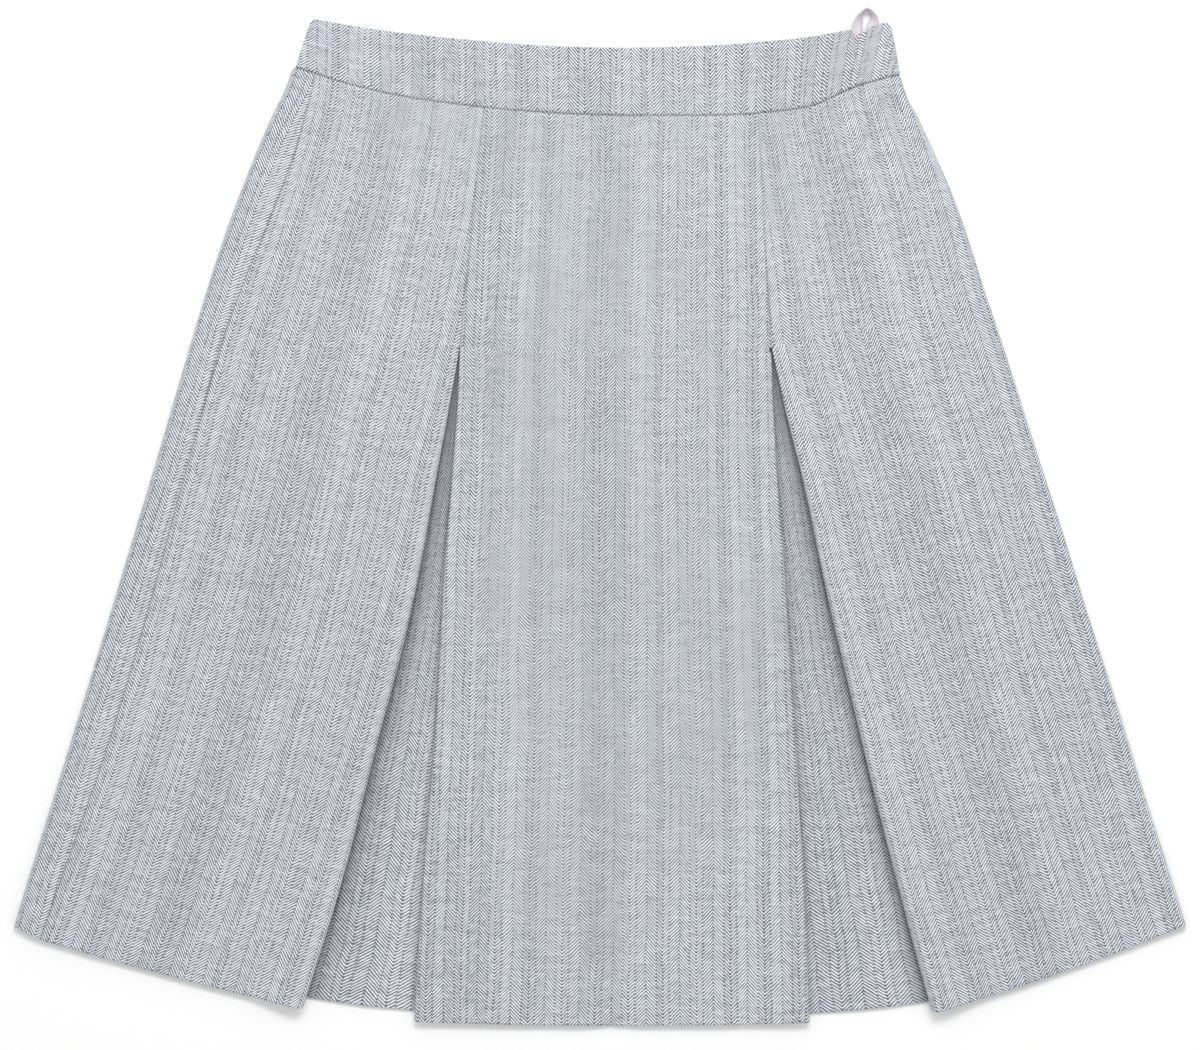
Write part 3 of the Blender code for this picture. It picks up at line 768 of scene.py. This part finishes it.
def make_shell(name, grid, wall, material, underlay=None):
    """Mesh of a grid of points with its grain as a UV map, given a wall and smooth faces."""
    points, grain = grid
    there = ~np.isnan(points).any(-1)
    index = np.full(there.shape, -1)
    index[there] = np.arange(there.sum())
    corners = np.stack([index[:-1, :-1], index[1:, :-1], index[1:, 1:], index[:-1, 1:]], -1)
    faces = corners[(corners >= 0).all(-1)]
    mesh = bpy.data.meshes.new(name)
    mesh.from_pydata((points[there] * MM).tolist(), [], faces.tolist())
    uv = mesh.uv_layers.new(name="grain")
    uv.data.foreach_set("uv", (grain[there] * MM)[faces.ravel()].astype(np.float32).ravel())
    # Painted shade at each point, kept as an attribute that darkens the cloth's colour
    shade = painted_shade_at(points[there][:, 0], points[there][:, 1], underlay)
    attribute = mesh.attributes.new("shade", "FLOAT", "POINT")
    attribute.data.foreach_set("value", shade.astype(np.float32))
    mesh.materials.append(material)
    obj = bpy.data.objects.new(name, mesh)
    bpy.context.scene.collection.objects.link(obj)
    bpy.ops.object.select_all(action="DESELECT")
    bpy.context.view_layer.objects.active = obj
    obj.select_set(True)
    solidify = obj.modifiers.new("wall", "SOLIDIFY")
    solidify.thickness = wall * MM
    solidify.offset = 0.0
    solidify.use_even_offset = True
    bpy.ops.object.modifier_apply(modifier="wall")
    obj.data.shade_smooth()
    return obj


class Nodes:
    """A material's node tree, filled by one method."""

    def __init__(self, name):
        self.material = bpy.data.materials.new(name)
        self.material.use_nodes = True
        self.tree = self.material.node_tree
        self.tree.nodes.clear()

    def add(self, kind, settings=None, inputs=None, output=0):
        """A node of this kind, set and linked; returns one of its outputs."""
        node = self.tree.nodes.new(kind)
        for name, value in (settings or {}).items():
            setattr(node, name, value)
        for name, value in (inputs or {}).items():
            if isinstance(value, Value):
                self.tree.links.new(value.socket, node.inputs[name])
            else:
                node.inputs[name].default_value = value
        return Value(self, node.outputs[output]) if node.outputs else None


class Value:
    """An output socket; arithmetic on it adds Math nodes."""

    def __init__(self, nodes, socket):
        self.nodes = nodes
        self.socket = socket

    def maths(self, operation, *values):
        return self.nodes.add("ShaderNodeMath", {"operation": operation}, dict(enumerate(values)))

    def __add__(self, other):
        return self.maths("ADD", self, other)

    def __radd__(self, other):
        return self.maths("ADD", other, self)

    def __sub__(self, other):
        return self.maths("SUBTRACT", self, other)

    def __rsub__(self, other):
        return self.maths("SUBTRACT", other, self)

    def __mul__(self, other):
        return self.maths("MULTIPLY", self, other)

    def __rmul__(self, other):
        return self.maths("MULTIPLY", other, self)

    def __truediv__(self, other):
        return self.maths("DIVIDE", self, other)

    def __gt__(self, other):
        return self.maths("GREATER_THAN", self, other)

    def __abs__(self):
        return self.maths("ABSOLUTE", self)

    def fract(self):
        return self.maths("FRACT", self)

    def floor(self):
        return self.maths("FLOOR", self)

    def least(self, other):
        return self.maths("MINIMUM", self, other)

    def most(self, other):
        return self.maths("MAXIMUM", self, other)

    def wave(self):
        """0 to 1 and back for each whole step of the value."""
        return self.maths("COSINE", self * (2 * pi)) * 0.5 + 0.5

    def within(self):
        return self.least(1.0).most(0.0)


def noise(nodes, x, y, seed, detail=2.0):
    """Soft noise, 0 to 1, on two coordinates that are already in its own units."""
    place = nodes.add("ShaderNodeCombineXYZ", None, {0: x, 1: y, 2: seed})
    settings = {"noise_dimensions": "3D"}
    inputs = {"Vector": place, "Scale": 1.0, "Detail": detail, "Roughness": 0.55}
    return nodes.add("ShaderNodeTexNoise", settings, inputs)


def grain_axes(nodes):
    uv = nodes.add("ShaderNodeUVMap", {"uv_map": "grain"})
    across = nodes.add("ShaderNodeSeparateXYZ", None, {0: uv}, 0)
    along = nodes.add("ShaderNodeSeparateXYZ", None, {0: uv}, 1)
    return across, along


def mix_colour(nodes, share, start, end):
    """From one colour to another; each is three numbers or the value of a socket."""
    ends = [c if isinstance(c, Value) else (*c, 1.0) for c in (start, end)]
    inputs = {0: share, 6: ends[0], 7: ends[1]}
    return nodes.add("ShaderNodeMix", {"data_type": "RGBA"}, inputs, 2)


# Unevenness of the weave: its size across and along the warp in metres, and its weight, which
# is metres for what moves the columns, steps of the pitch for the jitter, and else shade.
Uneven = namedtuple("Uneven", "across along seed detail weight")
WANDER = Uneven(0.03, 0.05, 1.7, 2.0, 0.0034)
DRIFT = Uneven(0.009, 0.016, 4.1, 2.0, 0.0010)
JITTER = Uneven(0.003, 0.007, 8.3, 2.0, 0.4)
FLECK = Uneven(0.0011, 0.0019, 6.6, 2.0, 0.6)
SLUB = Uneven(0.022, 0.0024, 5.2, 2.0, 0.62)
CLOUD = Uneven(0.09, 0.12, 9.4, 3.0, 0.16)
MIDDLE_TONE = 0.53
THREAD_TONE = 1.35  # from between the slanting threads to the top of one
THREAD_FLECK = 1.9  # how much the flecks change that
STRAND_WIDTH = 0.0032
STRAND_TONE = 1.15  # from one thread to the next
COLUMN_TONE = 0.18
LINE_TONE = 1.1
FAINTEST_DOT = 0.25


def uneven(nodes, across, along, kind):
    """Noise of one kind, -0.5 to 0.5."""
    return noise(nodes, across / kind.across, along / kind.along, kind.seed, kind.detail) - 0.5


def dotted_lines(nodes, settings, fold, phase, number, along):
    """1 on the dots where two columns meet, along lines that come and go."""
    nearest = fold.least(abs(fold - settings.narrow)).least(0.5 - fold)
    line = (1.0 - nearest / settings.line).within()
    dots = FAINTEST_DOT + (phase + 0.3).wave() * (1 - FAINTEST_DOT)
    force = noise(nodes, number * 3.7, along / 0.012, 3.3)
    return line * dots * (force * 2.2 - 0.35).within()


def cloth_material(name, settings):
    """Herringbone: slanting threads in columns of two widths, dark dotted lines between them."""
    nodes = Nodes(name)
    across, along = grain_axes(nodes)
    moved = across + uneven(nodes, across, along, WANDER) * WANDER.weight
    columns = (moved + uneven(nodes, across, along, DRIFT) * DRIFT.weight) / settings.repeat
    place = columns.fract()
    fold = abs(place - 0.5)
    wide = fold > settings.narrow
    climb = (along - fold * (settings.repeat * settings.steep)) / settings.pitch
    phase = climb + wide * 0.5 + uneven(nodes, across, along, JITTER) * JITTER.weight
    threads = phase.wave()
    number = columns.floor() * 4.0 + (place > 0.5) * 2.0 + wide
    column = nodes.add("ShaderNodeTexWhiteNoise", {"noise_dimensions": "1D"}, {"W": number})
    strand = noise(nodes, across / STRAND_WIDTH, phase * 0.9, 2.9, 3.0)
    fleck = uneven(nodes, across, along, FLECK)
    dark_line = dotted_lines(nodes, settings, fold, phase, number, along)
    tone = (
        MIDDLE_TONE
        + (threads - 0.5) * (THREAD_TONE + fleck * THREAD_FLECK)
        + (strand - 0.5) * STRAND_TONE
        + fleck * FLECK.weight
        + (column - 0.5) * COLUMN_TONE
        + uneven(nodes, across, along, SLUB) * SLUB.weight
        + uneven(nodes, across, along, CLOUD) * CLOUD.weight
        - dark_line * LINE_TONE
    ).within()
    colour = mix_colour(nodes, tone, settings.dark, settings.light)
    # Painted shade: the colour darkens towards DEEP_SHADE along the seams and beside the pleat folds
    shade = nodes.add("ShaderNodeAttribute", {"attribute_name": "shade"}, None, 2)
    colour = mix_colour(nodes, shade, colour, DEEP_SHADE)
    height = threads * 0.6 + strand * 0.5 + fleck * 0.3 - dark_line * 0.9
    bump_inputs = {"Strength": 0.55, "Distance": 0.00035, "Height": height}
    normal = nodes.add("ShaderNodeBump", None, bump_inputs)
    shader = nodes.add("ShaderNodeBsdfPrincipled", None, {
        "Base Color": colour,
        "Roughness": 0.9 - tone * 0.12,
        "Specular IOR Level": 0.25,
        "Sheen Weight": 0.18,
        "Sheen Roughness": 0.45,
        "Sheen Tint": (0.86, 0.88, 1.0, 1.0),
        "Normal": normal,
    })
    nodes.add("ShaderNodeOutputMaterial", None, {"Surface": shader})
    return nodes.material


def ribbon_material(settings):
    """Satin: close crosswise floats, a sheen along the ribbon and a firmer woven edge."""
    nodes = Nodes("satin_ribbon_finish")
    across, along = grain_axes(nodes)
    floats = (along / 0.00042 + noise(nodes, across / 0.002, along / 0.004, 2.2) * 0.8).wave()
    warp = noise(nodes, across / 0.00035, along / 0.006, 7.1)
    edge = (abs(across) - 0.0024).most(0.0) / 0.0007
    tone = (0.55 + (floats - 0.5) * 0.12 + (warp - 0.5) * 0.4 - edge * 0.12).within()
    low = [c * 0.82 for c in settings.ribbon]
    colour = mix_colour(nodes, tone, low, settings.ribbon)
    bump_inputs = {"Strength": 0.35, "Distance": 0.0001, "Height": floats * 0.6 + warp}
    normal = nodes.add("ShaderNodeBump", None, bump_inputs)
    shader = nodes.add("ShaderNodeBsdfPrincipled", None, {
        "Base Color": colour,
        "Roughness": 0.34 + warp * 0.12,
        "Sheen Weight": 0.25,
        "Sheen Roughness": 0.3,
        "Normal": normal,
    })
    nodes.add("ShaderNodeOutputMaterial", None, {"Surface": shader})
    return nodes.material


def floor_material(settings):
    nodes = Nodes("pale_floor")
    colour = (*settings.floor, 1.0)
    inputs = {"Base Color": colour, "Roughness": 0.8, "Specular IOR Level": 0.1}
    shader = nodes.add("ShaderNodeBsdfPrincipled", None, inputs)
    nodes.add("ShaderNodeOutputMaterial", None, {"Surface": shader})
    return nodes.material


class SkirtCloth(bpy.types.PropertyGroup):
    wall: FloatProperty(
        name="Wall", description="Thickness of one layer of the cloth, in millimetres",
        default=0.9, min=0.5, max=1.0,
    )
    repeat: FloatProperty(
        name="Repeat", description="Width of four columns of the herringbone",
        default=0.0196, subtype="DISTANCE", unit="LENGTH",
    )
    pitch: FloatProperty(
        name="Pitch", description="Distance along the warp from one slanting thread to the next",
        default=0.00215, subtype="DISTANCE", unit="LENGTH", precision=5,
    )
    steep: FloatProperty(
        name="Slant", description="How far a thread climbs for each unit across", default=1.15,
    )
    narrow: FloatProperty(
        name="Narrow", description="Share of the repeat that one narrow column takes", default=0.19,
    )
    line: FloatProperty(
        name="Line", description="Half width of the dotted lines as a share of the repeat",
        default=0.03,
    )
    dark: FloatVectorProperty(
        name="Dark yarn", description="Colour of the darkest yarn", subtype="COLOR",
        default=(0.135, 0.145, 0.18), min=0.0, max=1.0,
    )
    light: FloatVectorProperty(
        name="Light yarn", description="Colour of the lightest yarn", subtype="COLOR",
        default=(0.84, 0.855, 0.915), min=0.0, max=1.0,
    )
    ribbon: FloatVectorProperty(
        name="Ribbon", description="Colour of the hanger loop", subtype="COLOR",
        default=(0.73, 0.68, 0.72), min=0.0, max=1.0,
    )


class SkirtStage(bpy.types.PropertyGroup):
    floor: FloatVectorProperty(
        name="Floor", description="Colour of the floor", subtype="COLOR",
        default=(0.97, 0.97, 0.97), min=0.0, max=1.0,
    )
    sky: FloatProperty(name="Sky", description="Strength of the even light", default=0.755)
    key: FloatProperty(
        name="Key", description="Power of the softbox above the waist", default=25.0, unit="POWER",
    )
    view: FloatProperty(
        name="View", description="Width that the camera takes in",
        default=0.75, subtype="DISTANCE", unit="LENGTH",
    )


def piece(name, grid, wall, material, node, underlay=None):
    """Makes a shell that rides on the body and stands for its node."""
    obj = make_shell(name, grid, wall, material, underlay)
    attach(obj, BODY)
    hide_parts(node)
    return obj


def cloth_piece(name, grid, wall, material, node, underlay=None):
    """Makes a piece of the herringbone and works out the flat size of its cut."""
    obj = piece(name, grid, wall, material, node, underlay)
    width, length, area = flat_size(grid[0])


def cloth_of(settings):
    """The herringbone, made once and shared by every piece of the skirt."""
    found = bpy.data.materials.get("herringbone_finish")
    return found or cloth_material("herringbone_finish", settings)


class SKIRT_OT_front(bpy.types.Operator):
    """Lay out the centre panel and the side panels with their pleat returns."""

    bl_idname = "skirt.front"
    bl_label = "Front panels"

    def execute(self, context):
        settings = context.scene.skirt_cloth
        cloth = cloth_of(settings)
        panels = (
            ("front_centre_cloth", centre_panel(), "front_centre_panel"),
            ("front_left_cloth", side_panel_left(), "front_side_panel_left"),
            ("front_right_cloth", side_panel_right(), "front_side_panel_right"),
        )
        for name, grid, node in panels:
            cloth_piece(name, grid, settings.wall, cloth, node)
        return {"FINISHED"}


class SKIRT_OT_underlays(bpy.types.Operator):
    """Lay out the two pieces that show inside the pleats."""

    bl_idname = "skirt.underlays"
    bl_label = "Pleat underlays"

    def execute(self, context):
        settings = context.scene.skirt_cloth
        cloth = cloth_of(settings)
        left = underlay("side_left", "centre_left", UNDERLAY_LEFT_HEM)
        right = underlay("centre_right", "side_right", UNDERLAY_RIGHT_HEM)
        for side, grid in (("left", left), ("right", right)):
            node = "pleat_underlay_" + side
            name = "underlay_" + side + "_cloth"
            folds = ("side_" + side, "centre_" + side)
            cloth_piece(name, grid, settings.wall, cloth, node, folds)
        return {"FINISHED"}


class SKIRT_OT_back(bpy.types.Operator):
    """Lay out the back panel, which rolls over the left edge."""

    bl_idname = "skirt.back"
    bl_label = "Back panel"

    def execute(self, context):
        settings = context.scene.skirt_cloth
        cloth = cloth_of(settings)
        grid = back_panel()
        cloth_piece("back_cloth", grid, settings.wall, cloth, "back_panel")
        return {"FINISHED"}


class SKIRT_OT_waistband(bpy.types.Operator):
    """Make both halves of the doubled waistband."""

    bl_idname = "skirt.waistband"
    bl_label = "Waistband"

    def execute(self, context):
        cloth = cloth_of(context.scene.skirt_cloth)
        front, back = band_front(), band_back()
        cloth_piece("band_front_cloth", front, BAND, cloth, "waistband_front")
        cloth_piece("band_back_cloth", back, BAND, cloth, "waistband_back")
        return {"FINISHED"}


class SKIRT_OT_loop(bpy.types.Operator):
    """Make the ribbon hanger loop."""

    bl_idname = "skirt.loop"
    bl_label = "Hanger loop"

    def execute(self, context):
        ribbon = ribbon_material(context.scene.skirt_cloth)
        piece("loop_ribbon", loop_sections(), RIBBON_WALL, ribbon, "hanger_loop")
        return {"FINISHED"}


def add_softbox(name, power, size, place):
    """An area light of this size at a place, facing the middle of the skirt."""
    bpy.ops.object.light_add(type="AREA", location=place)
    lamp = bpy.context.object
    lamp.name = name
    lamp.data.energy = power
    lamp.data.shape = "RECTANGLE"
    lamp.data.size, lamp.data.size_y = size
    lamp.rotation_euler = Vector(place).to_track_quat("Z", "Y").to_euler()


class SKIRT_OT_stage(bpy.types.Operator):
    """Set out the pale floor, the lights and the camera straight above the skirt."""

    bl_idname = "skirt.stage"
    bl_label = "Stage"

    def execute(self, context):
        stage = context.scene.skirt_stage
        bpy.ops.mesh.primitive_plane_add(size=FLOOR_SIZE, location=(0.0, 0.0, 0.0))
        floor = context.object
        floor.name = "floor"
        floor.data.materials.append(floor_material(stage))
        world = bpy.data.worlds.new("studio")
        world.use_nodes = True
        sky = world.node_tree.nodes["Background"]
        sky.inputs["Color"].default_value = (1.0, 1.0, 1.0, 1.0)
        sky.inputs["Strength"].default_value = stage.sky
        context.scene.world = world
        add_softbox("key_softbox", stage.key, SOFTBOX_SIZE, SOFTBOX_PLACE)
        low, high = CAD_BOX
        distance = stage.view * LENS / SENSOR
        place = (0.0, (low[1] + high[1]) / 2 - VIEW_DROP, distance + VIEW_LEVEL)
        bpy.ops.object.camera_add(location=place, rotation=(0.0, 0.0, 0.0))
        camera = context.object
        camera.data.lens = LENS
        camera.data.sensor_width = SENSOR
        context.scene.camera = camera
        context.scene.view_settings.view_transform = "Standard"
        return {"FINISHED"}


class SKIRT_PT_panel(bpy.types.Panel):
    """Sizes and colours, with a button for each operator."""

    bl_label = "Pleated skirt"
    bl_idname = "SKIRT_PT_panel"
    bl_space_type = "VIEW_3D"
    bl_region_type = "UI"
    bl_category = "Skirt"

    def draw(self, context):
        for group in (context.scene.skirt_cloth, context.scene.skirt_stage):
            for name in group.__annotations__:
                self.layout.prop(group, name)
        for operator in OPERATORS:
            self.layout.operator(operator.bl_idname)


OPERATORS = (
    SKIRT_OT_front,
    SKIRT_OT_underlays,
    SKIRT_OT_back,
    SKIRT_OT_waistband,
    SKIRT_OT_loop,
    SKIRT_OT_stage,
)
CLASSES = (SkirtCloth, SkirtStage, *OPERATORS, SKIRT_PT_panel)


def register():
    for cls in CLASSES:
        bpy.utils.register_class(cls)
    bpy.types.Scene.skirt_cloth = PointerProperty(type=SkirtCloth)
    bpy.types.Scene.skirt_stage = PointerProperty(type=SkirtStage)


def unregister():
    del bpy.types.Scene.skirt_stage
    del bpy.types.Scene.skirt_cloth
    for cls in reversed(CLASSES):
        bpy.utils.unregister_class(cls)


def main():
    register()
    bpy.ops.skirt.stage()
    bpy.ops.skirt.back()
    bpy.ops.skirt.underlays()
    bpy.ops.skirt.front()
    bpy.ops.skirt.waistband()
    bpy.ops.skirt.loop()


if __name__ == "__main__":
    main()
